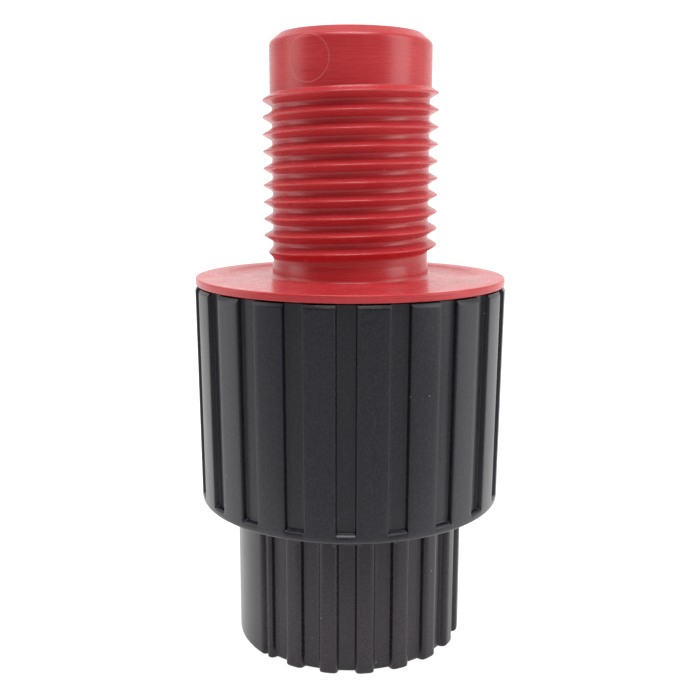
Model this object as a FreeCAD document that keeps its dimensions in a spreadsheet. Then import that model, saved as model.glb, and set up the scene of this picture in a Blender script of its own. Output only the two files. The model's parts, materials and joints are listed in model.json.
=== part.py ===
import FreeCAD, Part

import os
import re

import Sketcher

# A threaded, adjustable drip emitter that stands upright on its ribbed outlet cap.
#
# Water enters the red threaded nipple at the top, passes a thimble strainer and a sprung
# check poppet, spreads over a rubber diaphragm, runs through a labyrinth disc and a metering
# jet, and leaves through the outlet cap.  The cap turns on the collar's journal without
# moving up or down.  Its threaded hub drives the keyed metering needle in and out of the jet.
#
# Millimetres, +Z up, origin at the middle of the outlet cap's lower face.

SIZES = {
    # inlet nipple
    "overall_height": 74.8,
    "pilot_radius": 9.72,
    "pilot_bottom": 69.7,
    "tube_radius": 9.5,
    "tube_bore": 7.3,
    "tube_bore_bottom": 62.0,
    "strainer_bore": 7.0,
    "rim_bevel_height": 1.1,
    "rim_bevel_width": 1.3,
    "thread_radius": 10.6,
    "thread_pitch": 2.0,
    "thread_root_width": 1.35,
    "thread_crest_width": 0.16,
    "thread_start_height": 49.35,
    "thread_rise": 19.25,
    "thread_start_angle": -135.0,
    "thread_overlap": 0.1,
    "flange_radius": 19.0,
    "flange_bottom": 45.3,
    "flange_thickness": 0.9,
    "neck_fillet": 0.9,
    "skirt_radius": 16.2,
    "skirt_bore": 14.4,
    "skirt_bottom": 39.0,
    "skirt_groove_bottom": 41.0,
    "skirt_groove_top": 43.0,
    "skirt_groove_radius": 15.2,
    "nipple_bottom": 36.0,
    "valve_bore": 7.6,
    "strainer_shelf": 50.0,
    "shelf_underside": 48.0,
    "shelf_hole": 5.0,
    # collar housing
    "collar_top_radius": 19.1,
    "collar_bottom_radius": 18.85,
    "collar_bottom": 18.3,
    "collar_edge_round": 0.4,
    "collar_bevel_height": 0.6,
    "collar_bevel_width": 0.3,
    "collar_bore": 16.3,
    "gasket_ledge": 27.5,
    "ledge_bore": 7.0,
    "floor_top": 22.0,
    "outlet_bore": 5.0,
    "journal_radius": 8.6,
    "journal_bottom": 6.0,
    "snap_groove_bottom": 8.4,
    "snap_groove_top": 9.6,
    "snap_groove_radius": 7.7,
    "cap_seal_bottom": 12.0,
    "cap_seal_top": 14.0,
    "cap_seal_radius": 7.5,
    "key_slot_width": 1.6,
    "key_slot_radius": 6.0,
    "key_slot_top": 16.5,
    "stop_peg_radius": 0.8,
    "stop_peg_offset": 12.0,
    "stop_peg_bottom": 16.0,
    "stop_peg_root": 0.5,
    # grip ribs, shared by the collar and the cap
    "rib_count": 20,
    "rib_pitch_angle": 18.0,
    "rib_phase_angle": -91.2,
    "cutter_overshoot": 1.0,
    "collar_groove_width": 2.2,
    "collar_groove_radius": 18.5,
    "collar_groove_bottom": 19.4,
    "cap_groove_width": 2.15,
    "cap_groove_radius": 13.75,
    "cap_groove_top": 16.4,
    "cap_plain_ribs": 2,
    "witness_groove_width": 0.6,
    "witness_groove_angle": -136.1,
    # outlet cap
    "cap_radius": 14.35,
    "cap_top": 17.6,
    "cap_bottom_bevel": 0.3,
    "cap_bore": 8.7,
    "snap_pocket_radius": 9.9,
    "snap_shoulder": 9.7,
    "cap_web_bottom": 3.0,
    "cap_web_top": 5.7,
    "cap_recess_radius": 12.0,
    "nozzle_socket_top": 4.4,
    "nozzle_radius": 6.0,
    "hub_radius": 3.4,
    "hub_bore": 2.5,
    "hub_top": 9.0,
    "flow_hole_radius": 0.7,
    "flow_hole_offset": 4.25,
    "flow_hole_count": 6,
    "flow_hole_angle": 30.0,
    "stop_channel_inner": 11.0,
    "stop_channel_outer": 13.0,
    "stop_channel_bottom": 15.6,
    "stop_channel_start_angle": 115.0,
    "stop_channel_sweep": 340.0,
    # drip nozzle
    "nozzle_face": 1.8,
    "nozzle_cavity_radius": 5.2,
    "nozzle_cavity_bottom": 2.6,
    "spout_radius": 2.6,
    "spout_bottom": 0.6,
    "spout_bore": 1.5,
    # metering needle and jet
    "needle_bottom": 5.6,
    "needle_screw_radius": 2.4,
    "needle_screw_top": 11.0,
    "needle_stem_radius": 1.2,
    "needle_taper_start": 24.76,
    "needle_taper_length": 1.4,
    "needle_point_radius": 0.4,
    "key_radius": 5.85,
    "key_width": 1.45,
    "key_bottom": 13.0,
    "key_height": 2.5,
    "jet_bottom": 24.0,
    "jet_top": 27.0,
    "jet_radius": 3.5,
    "jet_throat_radius": 1.0,
    "jet_throat_bottom": 25.2,
    "jet_mouth_radius": 2.0,
    # labyrinth, gasket, diaphragm and clamp ring
    "gasket_bore": 6.6,
    "disc_bottom": 28.3,
    "disc_top": 33.7,
    "disc_boss_radius": 5.0,
    "chamber_radius": 9.0,
    "chamber_floor": 33.1,
    "weir_radius": 2.4,
    "weir_top": 33.6,
    "labyrinth_inner": 11.0,
    "labyrinth_outer": 14.5,
    "labyrinth_depth": 1.6,
    "tooth_width": 1.0,
    "tooth_reach": 2.3,
    "tooth_count": 12,
    "tooth_inner_angle": 15.0,
    "tooth_outer_angle": 30.0,
    "tooth_overlap": 0.1,
    "inlet_hole_radius": 0.6,
    "inlet_hole_offset": 12.0,
    "inlet_hole_count": 4,
    "riser_offset": 8.0,
    "riser_slot_width": 1.0,
    "diaphragm_bottom": 34.0,
    "diaphragm_top": 34.8,
    "diaphragm_bead_inner": 14.2,
    "diaphragm_bead_top": 35.3,
    "clamp_ring_bore": 13.4,
    # check valve
    "seat_bottom": 45.4,
    "seat_hole": 3.2,
    "poppet_head_radius": 5.2,
    "poppet_head_bottom": 43.0,
    "poppet_head_top": 44.3,
    "poppet_step_radius": 3.5,
    "poppet_step_top": 44.9,
    "poppet_nose_radius": 2.8,
    "poppet_nose_top": 46.6,
    "poppet_stem_radius": 1.4,
    "poppet_stem_bottom": 37.2,
    "poppet_seal_section": 0.5,
    "guide_bottom": 36.6,
    "guide_top": 38.0,
    "guide_bush_radius": 2.4,
    "guide_bush_bore": 1.45,
    "guide_bush_top": 39.0,
    "guide_hole_radius": 1.6,
    "guide_hole_offset": 4.6,
    "guide_hole_count": 6,
    "spring_radius": 3.0,
    "spring_wire": 0.3,
    "spring_end_gap": 0.05,
    "spring_turns": 3.5,
    # strainer
    "strainer_ring_radius": 6.95,
    "strainer_ring_top": 51.2,
    "strainer_radius": 6.1,
    "strainer_inside": 5.3,
    "strainer_window_top": 60.0,
    "strainer_window_width": 4.4,
    "strainer_window_cuts": 3,
    "strainer_top": 61.4,
    "strainer_mesh_inside": 5.1,
    # loose rings
    "seal_clearance": 0.03,
    "body_seal_section": 0.52,
    "cap_seal_section": 0.55,
    "snap_ring_radius": 9.5,
    "snap_ring_sweep": 310.0,
    "washer_bore": 8.65,
    "washer_radius": 10.8,
    "washer_thickness": 0.6,
}


# ---------------------------------------------------------------- helpers

def add_sheet(doc):
    """The driving dimensions, one row each: the name in A and the number in B."""
    sheet = doc.addObject("Spreadsheet::Sheet", "Sizes")
    for row, (alias, size) in enumerate(SIZES.items(), start=1):
        sheet.set(f"A{row}", alias)
        sheet.set(f"B{row}", str(size))
        sheet.setAlias(f"B{row}", alias)
    doc.recompute()


def bound(expression):
    """'tube_bore + 2' becomes 'Sizes.tube_bore + 2', which reads the sheet."""
    return re.sub(r"[a-z][a-z_]+", r"Sizes.\g<0>", str(expression))


def number(owner, expression):
    """What the bound expression comes to now, for a first guess that the solver keeps."""
    return float(owner.evalExpression(bound(expression)))


def add_body(doc, label):
    body = doc.addObject("PartDesign::Body", label)
    body.Label = label
    return body


def origin_feature(body, role):
    for feature in body.Origin.OriginFeatures:
        if feature.Role == role:
            return feature
    raise ValueError(f"{body.Label} has no {role}")


def add_sketch(body, name, role, height="0", turn="0"):
    """An empty sketch on an origin plane, raised by height and turned about Z by degrees."""
    sketch = body.newObject("Sketcher::SketchObject", f"{body.Label}_{name}")
    sketch.AttachmentSupport = [(origin_feature(body, role), "")]
    sketch.MapMode = "FlatFace"
    upright = role == "XZ_Plane"
    turn_axis = FreeCAD.Vector(0, 1, 0) if upright else FreeCAD.Vector(0, 0, 1)
    turned = FreeCAD.Rotation(turn_axis, number(sketch, turn))
    sketch.AttachmentOffset = FreeCAD.Placement(FreeCAD.Vector(), turned)
    if turn != "0":
        sketch.setExpression("AttachmentOffset.Rotation.Angle", bound(turn))
    if height != "0":
        sketch.setExpression("AttachmentOffset.Base.z", bound(height))
    return sketch


def place_point(sketch, edge, corner, axis_kind, expression, first_guess):
    """Hold one coordinate of a point at the bound expression, measured from the origin."""
    rule = Sketcher.Constraint(axis_kind, -1, 1, edge, corner, first_guess)
    index = sketch.addConstraint(rule)
    sketch.setExpression(f"Constraints[{index}]", bound(expression))


def draw_outline(sketch, corners):
    """A closed outline of straight edges; each corner is a pair of expressions."""
    points = [FreeCAD.Vector(number(sketch, x), number(sketch, y), 0) for x, y in corners]
    count = len(points)
    for index, point in enumerate(points):
        sketch.addGeometry(Part.LineSegment(point, points[(index + 1) % count]), False)
    for index in range(count):
        sketch.addConstraint(Sketcher.Constraint("Coincident", index, 2, (index + 1) % count, 1))
    for index, (x, y) in enumerate(corners):
        place_point(sketch, index, 1, "DistanceX", x, points[index].x)
        place_point(sketch, index, 1, "DistanceY", y, points[index].y)
    return sketch


def draw_circle(sketch, x, y, radius):
    """A circle; its centre and its radius are expressions."""
    centre = FreeCAD.Vector(number(sketch, x), number(sketch, y), 0)
    size = number(sketch, radius)
    edge = sketch.addGeometry(Part.Circle(centre, FreeCAD.Vector(0, 0, 1), size), False)
    place_point(sketch, edge, 3, "DistanceX", x, centre.x)
    place_point(sketch, edge, 3, "DistanceY", y, centre.y)
    index = sketch.addConstraint(Sketcher.Constraint("Radius", edge, size))
    sketch.setExpression(f"Constraints[{index}]", bound(radius))
    return sketch


def box_corners(left, right, low, high):
    return [(left, low), (right, low), (right, high), (left, high)]


def revolve(body, name, corners, sweep="360", turn="0"):
    """Turn a radius-and-height outline about Z into a solid."""
    sketch = draw_outline(add_sketch(body, f"{name}_outline", "XZ_Plane", turn=turn), corners)
    feature = body.newObject("PartDesign::Revolution", f"{body.Label}_{name}")
    feature.Profile = (sketch, [""])
    feature.ReferenceAxis = (sketch, ["V_Axis"])
    feature.setExpression("Angle", bound(sweep))
    return feature


def turn_away(body, name, corners, sweep, turn):
    """Cut a turned channel: the outline swept about Z from the turn angle."""
    sketch = draw_outline(add_sketch(body, f"{name}_outline", "XZ_Plane", turn=turn), corners)
    feature = body.newObject("PartDesign::Groove", f"{body.Label}_{name}")
    feature.Profile = (sketch, [""])
    feature.ReferenceAxis = (sketch, ["V_Axis"])
    feature.setExpression("Angle", bound(sweep))
    return feature


def wind(body, name, sketch, pitch, rise):
    """Sweep a profile up a right-hand helix about Z."""
    feature = body.newObject("PartDesign::AdditiveHelix", f"{body.Label}_{name}")
    feature.Profile = (sketch, [""])
    feature.ReferenceAxis = (sketch, ["V_Axis"])
    feature.Mode = "pitch-height-angle"
    feature.setExpression("Pitch", bound(pitch))
    feature.setExpression("Height", bound(rise))
    return feature


def extrude_up(body, name, sketch, rise):
    feature = body.newObject("PartDesign::Pad", f"{body.Label}_{name}")
    feature.Profile = (sketch, [""])
    feature.setExpression("Length", bound(rise))
    return feature


def cut_down(body, name, sketch, depth):
    """Cut from the sketch plane down, and make sure that it removed something."""
    before = body.Tip.Shape.Volume
    feature = body.newObject("PartDesign::Pocket", f"{body.Label}_{name}")
    feature.Profile = (sketch, [""])
    feature.setExpression("Length", bound(depth))
    body.Document.recompute()
    if feature.Shape.Volume >= before:
        raise ValueError(f"{feature.Label} cut nothing")
    return feature


def repeat_round(body, feature, count, sweep="360"):
    """Repeat a feature about Z; the last feature of the body has to be this pattern."""
    pattern = body.newObject("PartDesign::PolarPattern", f"{feature.Name}_round")
    pattern.Originals = [feature]
    pattern.Axis = (origin_feature(body, "Z_Axis"), [""])
    pattern.setExpression("Angle", bound(sweep))
    pattern.setExpression("Occurrences", bound(count))
    body.Tip = pattern
    body.Document.recompute()
    return pattern


def round_edge(body, name, radius_at, height_at, size):
    """Fillet the one full-circle edge with this radius at this height."""
    body.Document.recompute()
    base = body.Tip
    radius = number(base, radius_at)
    height = number(base, height_at)
    names = []
    for index, edge in enumerate(base.Shape.Edges, start=1):
        if not isinstance(edge.Curve, Part.Circle):
            continue
        same_radius = abs(edge.Curve.Radius - radius) < 1e-4
        if same_radius and abs(edge.Curve.Center.z - height) < 1e-4:
            names.append(f"Edge{index}")
    fillet = body.newObject("PartDesign::Fillet", f"{body.Label}_{name}")
    fillet.Base = (base, names)
    fillet.setExpression("Radius", bound(size))
    body.Document.recompute()
    return fillet


def plain_ring(doc, label, inner, outer, low, high, sweep="360"):
    """A flat or tall ring of rectangular section."""
    body = add_body(doc, label)
    revolve(body, "ring", box_corners(inner, outer, low, high), sweep=sweep)
    return body


def round_seal(doc, label, mean_radius, section, height):
    """An O-ring: a torus laid flat at a height."""
    seal = doc.addObject("Part::Torus", label)
    seal.Label = label
    seal.setExpression("Radius1", bound(mean_radius))
    seal.setExpression("Radius2", bound(section))
    seal.setExpression("Placement.Base.z", bound(height))
    return seal


# ---------------------------------------------------------------- the inlet

def make_inlet_nipple(doc):
    """Red nipple: threaded tube, thin flange, O-ring skirt, and the check valve's chamber."""
    body = add_body(doc, "inlet_nipple")
    revolve(body, "turned", [
        ("valve_bore", "nipple_bottom"),
        ("tube_radius", "nipple_bottom"),
        ("tube_radius", "flange_bottom"),
        ("skirt_bore", "flange_bottom"),
        ("skirt_bore", "skirt_bottom"),
        ("skirt_radius", "skirt_bottom"),
        ("skirt_radius", "skirt_groove_bottom"),
        ("skirt_groove_radius", "skirt_groove_bottom"),
        ("skirt_groove_radius", "skirt_groove_top"),
        ("skirt_radius", "skirt_groove_top"),
        ("skirt_radius", "flange_bottom"),
        ("flange_radius", "flange_bottom"),
        ("flange_radius", "flange_bottom + flange_thickness"),
        ("tube_radius", "flange_bottom + flange_thickness"),
        ("tube_radius", "pilot_bottom"),
        ("pilot_radius", "pilot_bottom"),
        ("pilot_radius", "overall_height - rim_bevel_height"),
        ("pilot_radius - rim_bevel_width", "overall_height"),
        ("tube_bore", "overall_height"),
        ("tube_bore", "tube_bore_bottom"),
        ("strainer_bore", "tube_bore_bottom"),
        ("strainer_bore", "strainer_shelf"),
        ("shelf_hole", "strainer_shelf"),
        ("shelf_hole", "shelf_underside"),
        ("valve_bore", "shelf_underside"),
    ])
    round_edge(body, "neck", "tube_radius", "flange_bottom + flange_thickness", "neck_fillet")
    overlap = "tube_radius - thread_overlap"
    middle = "thread_start_height"
    tooth = add_sketch(body, "tooth", "XZ_Plane", turn="thread_start_angle")
    draw_outline(tooth, [
        (overlap, f"{middle} - thread_root_width / 2"),
        ("thread_radius", f"{middle} - thread_crest_width / 2"),
        ("thread_radius", f"{middle} + thread_crest_width / 2"),
        (overlap, f"{middle} + thread_root_width / 2"),
    ])
    wind(body, "thread", tooth, "thread_pitch", "thread_rise")
    return body


def make_strainer_frame(doc):
    """Thimble cage: a foot ring, six posts and a closed head that faces the inflow."""
    body = add_body(doc, "strainer_frame")
    revolve(body, "thimble", [
        ("strainer_inside", "strainer_shelf"),
        ("strainer_ring_radius", "strainer_shelf"),
        ("strainer_ring_radius", "strainer_ring_top"),
        ("strainer_radius", "strainer_ring_top"),
        ("strainer_radius", "strainer_top"),
        ("0", "strainer_top"),
        ("0", "strainer_window_top"),
        ("strainer_inside", "strainer_window_top"),
    ])
    doc.recompute()
    half = "strainer_window_width / 2"
    window = add_sketch(body, "window", "XZ_Plane")
    draw_outline(window, box_corners(f"0 - {half}", half, "strainer_ring_top", "strainer_window_top"))
    slot = body.newObject("PartDesign::Pocket", "strainer_frame_window_cut")
    slot.Profile = (window, [""])
    slot.Midplane = True
    slot.setExpression("Length", bound("2 * (strainer_radius + cutter_overshoot)"))
    doc.recompute()
    repeat_round(body, slot, "strainer_window_cuts")
    return body


def make_strainer_mesh(doc):
    return plain_ring(doc, "strainer_mesh", "strainer_mesh_inside", "strainer_inside",
                      "strainer_shelf", "strainer_window_top")


# ---------------------------------------------------------------- the check valve

def make_check_seat(doc):
    """Pressed-in ring with the hole that the poppet closes."""
    return plain_ring(doc, "check_seat", "seat_hole", "valve_bore",
                      "seat_bottom", "shelf_underside")


def make_check_poppet(doc):
    """Poppet: nose in the hole, step that holds its seal, head for the spring, and stem."""
    body = add_body(doc, "check_poppet")
    revolve(body, "turned", [
        ("0", "poppet_stem_bottom"),
        ("poppet_stem_radius", "poppet_stem_bottom"),
        ("poppet_stem_radius", "poppet_head_bottom"),
        ("poppet_head_radius", "poppet_head_bottom"),
        ("poppet_head_radius", "poppet_head_top"),
        ("poppet_step_radius", "poppet_head_top"),
        ("poppet_step_radius", "poppet_step_top"),
        ("poppet_nose_radius", "poppet_step_top"),
        ("poppet_nose_radius", "poppet_nose_top"),
        ("0", "poppet_nose_top"),
    ])
    return body


def make_poppet_seal(doc):
    return round_seal(doc, "poppet_seal", "poppet_step_radius + poppet_seal_section",
                      "poppet_seal_section", "poppet_head_top + poppet_seal_section")


def make_check_spring(doc):
    """Open coil between the guide plate and the poppet's head."""
    body = add_body(doc, "check_spring")
    low = "guide_top + spring_end_gap + spring_wire"
    high = "poppet_head_bottom - spring_end_gap - spring_wire"
    section = add_sketch(body, "section", "XZ_Plane")
    draw_circle(section, "spring_radius", low, "spring_wire")
    rise = f"({high}) - ({low})"
    wind(body, "coil", section, f"({rise}) / spring_turns", rise)
    return body


def make_poppet_guide(doc):
    """Spider plate with a tall bush for the stem and a ring of water holes."""
    body = add_body(doc, "poppet_guide")
    revolve(body, "plate", [
        ("guide_bush_bore", "guide_bottom"),
        ("valve_bore", "guide_bottom"),
        ("valve_bore", "guide_top"),
        ("guide_bush_radius", "guide_top"),
        ("guide_bush_radius", "guide_bush_top"),
        ("guide_bush_bore", "guide_bush_top"),
    ])
    doc.recompute()
    hole = add_sketch(body, "hole", "XY_Plane", height="guide_top")
    draw_circle(hole, "guide_hole_offset", "0", "guide_hole_radius")
    cut = cut_down(body, "hole_cut", hole, "guide_top - guide_bottom")
    repeat_round(body, cut, "guide_hole_count")
    return body


# ---------------------------------------------------------------- the regulating stack

def make_clamp_ring(doc):
    return plain_ring(doc, "diaphragm_clamp_ring", "clamp_ring_bore", "skirt_radius",
                      "diaphragm_bead_top", "skirt_bottom")


def make_diaphragm(doc):
    """Rubber disc with a thick rim bead and small inlet holes near the rim."""
    body = add_body(doc, "compensating_diaphragm")
    revolve(body, "disc", [
        ("0", "diaphragm_bottom"),
        ("diaphragm_bead_inner", "diaphragm_bottom"),
        ("diaphragm_bead_inner", "disc_top"),
        ("skirt_radius", "disc_top"),
        ("skirt_radius", "diaphragm_bead_top"),
        ("diaphragm_bead_inner", "diaphragm_bead_top"),
        ("diaphragm_bead_inner", "diaphragm_top"),
        ("0", "diaphragm_top"),
    ])
    doc.recompute()
    hole = add_sketch(body, "hole", "XY_Plane", height="diaphragm_top")
    draw_circle(hole, "inlet_hole_offset", "0", "inlet_hole_radius")
    cut = cut_down(body, "hole_cut", hole, "diaphragm_top - diaphragm_bottom")
    repeat_round(body, cut, "inlet_hole_count")
    return body


def make_labyrinth_disc(doc):
    """Disc with a toothed channel below, a weir and chamber above, and the jet's boss."""
    body = add_body(doc, "labyrinth_disc")
    ceiling = "disc_bottom + labyrinth_depth"
    revolve(body, "turned", [
        ("jet_throat_radius", "jet_top"),
        ("jet_radius", "jet_top"),
        ("jet_radius", "jet_bottom"),
        ("disc_boss_radius", "jet_bottom"),
        ("disc_boss_radius", "disc_bottom"),
        ("labyrinth_inner", "disc_bottom"),
        ("labyrinth_inner", ceiling),
        ("labyrinth_outer", ceiling),
        ("labyrinth_outer", "disc_bottom"),
        ("skirt_radius", "disc_bottom"),
        ("skirt_radius", "disc_top"),
        ("chamber_radius", "disc_top"),
        ("chamber_radius", "chamber_floor"),
        ("weir_radius", "chamber_floor"),
        ("weir_radius", "weir_top"),
        ("jet_throat_radius", "weir_top"),
    ])
    doc.recompute()
    hole = add_sketch(body, "inlet", "XY_Plane", height="disc_top")
    draw_circle(hole, "inlet_hole_offset", "0", "inlet_hole_radius")
    cut_down(body, "inlet_cut", hole, f"disc_top - ({ceiling})")
    riser = add_sketch(body, "riser", "XY_Plane", height="chamber_floor", turn="180")
    draw_circle(riser, "riser_offset", "0", "inlet_hole_radius")
    cut_down(body, "riser_cut", riser, "chamber_floor - disc_bottom")
    slot = add_sketch(body, "slot", "XY_Plane", height=ceiling, turn="180")
    half_slot = "riser_slot_width / 2"
    slot_end = "labyrinth_inner + 2 * tooth_overlap"
    draw_outline(slot, box_corners("riser_offset", slot_end, f"0 - {half_slot}", half_slot))
    cut_down(body, "slot_cut", slot, "labyrinth_depth")
    half_tooth = "tooth_width / 2"
    inner_reach = box_corners("labyrinth_inner - tooth_overlap", "labyrinth_inner + tooth_reach",
                              f"0 - {half_tooth}", half_tooth)
    outer_reach = box_corners("labyrinth_outer - tooth_reach", "labyrinth_outer + tooth_overlap",
                              f"0 - {half_tooth}", half_tooth)
    for name, reach in (("inner", inner_reach), ("outer", outer_reach)):
        sketch = add_sketch(body, f"{name}_tooth", "XY_Plane", height="disc_bottom",
                            turn=f"tooth_{name}_angle")
        draw_outline(sketch, reach)
        tooth = extrude_up(body, f"{name}_tooth_pad", sketch, "labyrinth_depth + tooth_overlap")
        repeat_round(body, tooth, "tooth_count")
    return body


def make_labyrinth_gasket(doc):
    return plain_ring(doc, "labyrinth_gasket", "gasket_bore", "skirt_radius",
                      "gasket_ledge", "disc_bottom")


def make_metering_jet(doc):
    """Small insert with the throat that the needle opens and closes from below."""
    body = add_body(doc, "metering_jet")
    revolve(body, "turned", [
        ("jet_mouth_radius", "jet_bottom"),
        ("jet_radius", "jet_bottom"),
        ("jet_radius", "jet_top"),
        ("jet_throat_radius", "jet_top"),
        ("jet_throat_radius", "jet_throat_bottom"),
    ])
    return body


# ---------------------------------------------------------------- the collar

def cut_ribs(body, outer_radius, floor_radius, width, low, high, count):
    """Leave grip ribs standing by cutting evenly spaced grooves round the outside.

    The first groove is two before the front one, so a count short of a full round leaves
    its plain stretch on the front left.
    """
    first = "rib_phase_angle - 2 * rib_pitch_angle"
    sketch = add_sketch(body, "groove", "XY_Plane", height=high, turn=first)
    half = f"{width} / 2"
    draw_outline(sketch, box_corners(floor_radius, f"{outer_radius} + cutter_overshoot", f"0 - {half}", half))
    cut = cut_down(body, "groove_cut", sketch, f"({high}) - ({low})")
    repeat_round(body, cut, count, sweep=f"rib_pitch_angle * (({count}) - 1)")


def make_collar_housing(doc):
    """Black ribbed collar: deep cup for the stack, outlet floor, and the cap's journal."""
    body = add_body(doc, "collar_housing")
    revolve(body, "turned", [
        ("outlet_bore", "journal_bottom"),
        ("journal_radius", "journal_bottom"),
        ("journal_radius", "snap_groove_bottom"),
        ("snap_groove_radius", "snap_groove_bottom"),
        ("snap_groove_radius", "snap_groove_top"),
        ("journal_radius", "snap_groove_top"),
        ("journal_radius", "cap_seal_bottom"),
        ("cap_seal_radius", "cap_seal_bottom"),
        ("cap_seal_radius", "cap_seal_top"),
        ("journal_radius", "cap_seal_top"),
        ("journal_radius", "collar_bottom"),
        ("collar_bottom_radius", "collar_bottom"),
        ("collar_top_radius", "flange_bottom - collar_bevel_height"),
        ("collar_top_radius - collar_bevel_width", "flange_bottom"),
        ("collar_bore", "flange_bottom"),
        ("collar_bore", "gasket_ledge"),
        ("ledge_bore", "gasket_ledge"),
        ("ledge_bore", "floor_top"),
        ("outlet_bore", "floor_top"),
    ])
    round_edge(body, "lower_edge", "collar_bottom_radius", "collar_bottom", "collar_edge_round")
    cut_ribs(body, "collar_top_radius", "collar_groove_radius", "collar_groove_width",
             "collar_groove_bottom", "flange_bottom", "rib_count")
    half = "key_slot_width / 2"
    slots = add_sketch(body, "key_slots", "XY_Plane", height="key_slot_top")
    draw_outline(slots, box_corners("0 - key_slot_radius", "key_slot_radius", f"0 - {half}", half))
    cut_down(body, "key_slots_cut", slots, "key_slot_top - journal_bottom")
    peg = add_sketch(body, "stop_peg", "XY_Plane", height="stop_peg_bottom")
    draw_circle(peg, "0", "stop_peg_offset", "stop_peg_radius")
    extrude_up(body, "stop_peg_pad", peg, "collar_bottom - stop_peg_bottom + stop_peg_root")
    return body


# ---------------------------------------------------------------- the outlet

def make_outlet_cap(doc):
    """Ribbed turning cap: bore for the journal, snap shoulder, threaded hub, stop channel."""
    body = add_body(doc, "outlet_cap")
    revolve(body, "turned", [
        ("hub_bore", "nozzle_socket_top"),
        ("nozzle_radius", "nozzle_socket_top"),
        ("nozzle_radius", "cap_web_bottom"),
        ("cap_recess_radius", "cap_web_bottom"),
        ("cap_recess_radius", "0"),
        ("cap_radius - cap_bottom_bevel", "0"),
        ("cap_radius", "cap_bottom_bevel"),
        ("cap_radius", "cap_top"),
        ("cap_bore", "cap_top"),
        ("cap_bore", "snap_shoulder"),
        ("snap_pocket_radius", "snap_shoulder"),
        ("snap_pocket_radius", "cap_web_top"),
        ("hub_radius", "cap_web_top"),
        ("hub_radius", "hub_top"),
        ("hub_bore", "hub_top"),
    ])
    doc.recompute()
    channel = box_corners("stop_channel_inner", "stop_channel_outer",
                          "stop_channel_bottom", "cap_top + cutter_overshoot")
    turn_away(body, "stop_channel", channel, "stop_channel_sweep", "stop_channel_start_angle")
    doc.recompute()
    cut_ribs(body, "cap_radius", "cap_groove_radius", "cap_groove_width",
             "0", "cap_groove_top", "(rib_count - cap_plain_ribs)")
    witness = add_sketch(body, "witness", "XY_Plane", height="cap_groove_top",
                         turn="witness_groove_angle")
    half = "witness_groove_width / 2"
    draw_outline(witness, box_corners("cap_groove_radius", "cap_radius + cutter_overshoot",
                                      f"0 - {half}", half))
    cut_down(body, "witness_cut", witness, "cap_groove_top")
    hole = add_sketch(body, "flow_hole", "XY_Plane", height="cap_web_top",
                      turn="flow_hole_angle")
    draw_circle(hole, "flow_hole_offset", "0", "flow_hole_radius")
    cut = cut_down(body, "flow_hole_cut", hole, "cap_web_top - nozzle_socket_top")
    repeat_round(body, cut, "flow_hole_count")
    return body


def make_drip_nozzle(doc):
    """Pressed-in collector with the short spout that the drops leave from."""
    body = add_body(doc, "drip_nozzle")
    revolve(body, "turned", [
        ("spout_bore", "spout_bottom"),
        ("spout_radius", "spout_bottom"),
        ("spout_radius", "nozzle_face"),
        ("nozzle_radius", "nozzle_face"),
        ("nozzle_radius", "nozzle_socket_top"),
        ("nozzle_cavity_radius", "nozzle_socket_top"),
        ("nozzle_cavity_radius", "nozzle_cavity_bottom"),
        ("spout_bore", "nozzle_cavity_bottom"),
    ])
    return body


def make_metering_needle(doc):
    """Needle: screw end in the cap's hub, key wings in the journal, tapered point in the jet."""
    body = add_body(doc, "metering_needle")
    revolve(body, "turned", [
        ("0", "needle_bottom"),
        ("needle_screw_radius", "needle_bottom"),
        ("needle_screw_radius", "needle_screw_top"),
        ("needle_stem_radius", "needle_screw_top"),
        ("needle_stem_radius", "needle_taper_start"),
        ("needle_point_radius", "needle_taper_start + needle_taper_length"),
        ("0", "needle_taper_start + needle_taper_length"),
    ])
    wings = add_sketch(body, "wings", "XY_Plane", height="key_bottom")
    half = "key_width / 2"
    draw_outline(wings, box_corners("0 - key_radius", "key_radius", f"0 - {half}", half))
    extrude_up(body, "wings_pad", wings, "key_height")
    return body


def make_body_seal_ring(doc):
    return round_seal(doc, "body_seal_ring", "skirt_groove_radius + body_seal_section + seal_clearance",
                      "body_seal_section", "(skirt_groove_bottom + skirt_groove_top) / 2")


def make_cap_seal_ring(doc):
    return round_seal(doc, "cap_seal_ring", "cap_seal_radius + cap_seal_section + seal_clearance",
                      "cap_seal_section", "(cap_seal_bottom + cap_seal_top) / 2")


def make_cap_retaining_ring(doc):
    """Split snap ring in the journal's groove, under the cap's shoulder."""
    return plain_ring(doc, "cap_retaining_ring", "snap_groove_radius", "snap_ring_radius",
                      "snap_groove_bottom", "snap_groove_top", sweep="snap_ring_sweep")


def make_cap_thrust_washer(doc):
    return plain_ring(doc, "cap_thrust_washer", "washer_bore", "washer_radius",
                      "collar_bottom - washer_thickness", "collar_bottom")


MAKERS = (
    make_inlet_nipple,
    make_strainer_frame,
    make_strainer_mesh,
    make_check_seat,
    make_check_poppet,
    make_poppet_seal,
    make_check_spring,
    make_poppet_guide,
    make_clamp_ring,
    make_diaphragm,
    make_labyrinth_disc,
    make_labyrinth_gasket,
    make_metering_jet,
    make_collar_housing,
    make_body_seal_ring,
    make_cap_seal_ring,
    make_cap_retaining_ring,
    make_cap_thrust_washer,
    make_outlet_cap,
    make_drip_nozzle,
    make_metering_needle,
)


def check_document(doc, parts):
    """Stop on any failed object, and on any sub-part that isn't one valid solid."""
    for item in doc.Objects:
        if "Invalid" in item.State or "Error" in item.State:
            raise ValueError(f"{item.Label} failed: {item.State}")
    for part in parts:
        shape = part.Shape
        if shape.isNull() or not shape.isValid():
            raise ValueError(f"{part.Label} has no valid shape")
        if len(shape.Solids) != 1:
            raise ValueError(f"{part.Label} has {len(shape.Solids)} solids")


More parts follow.
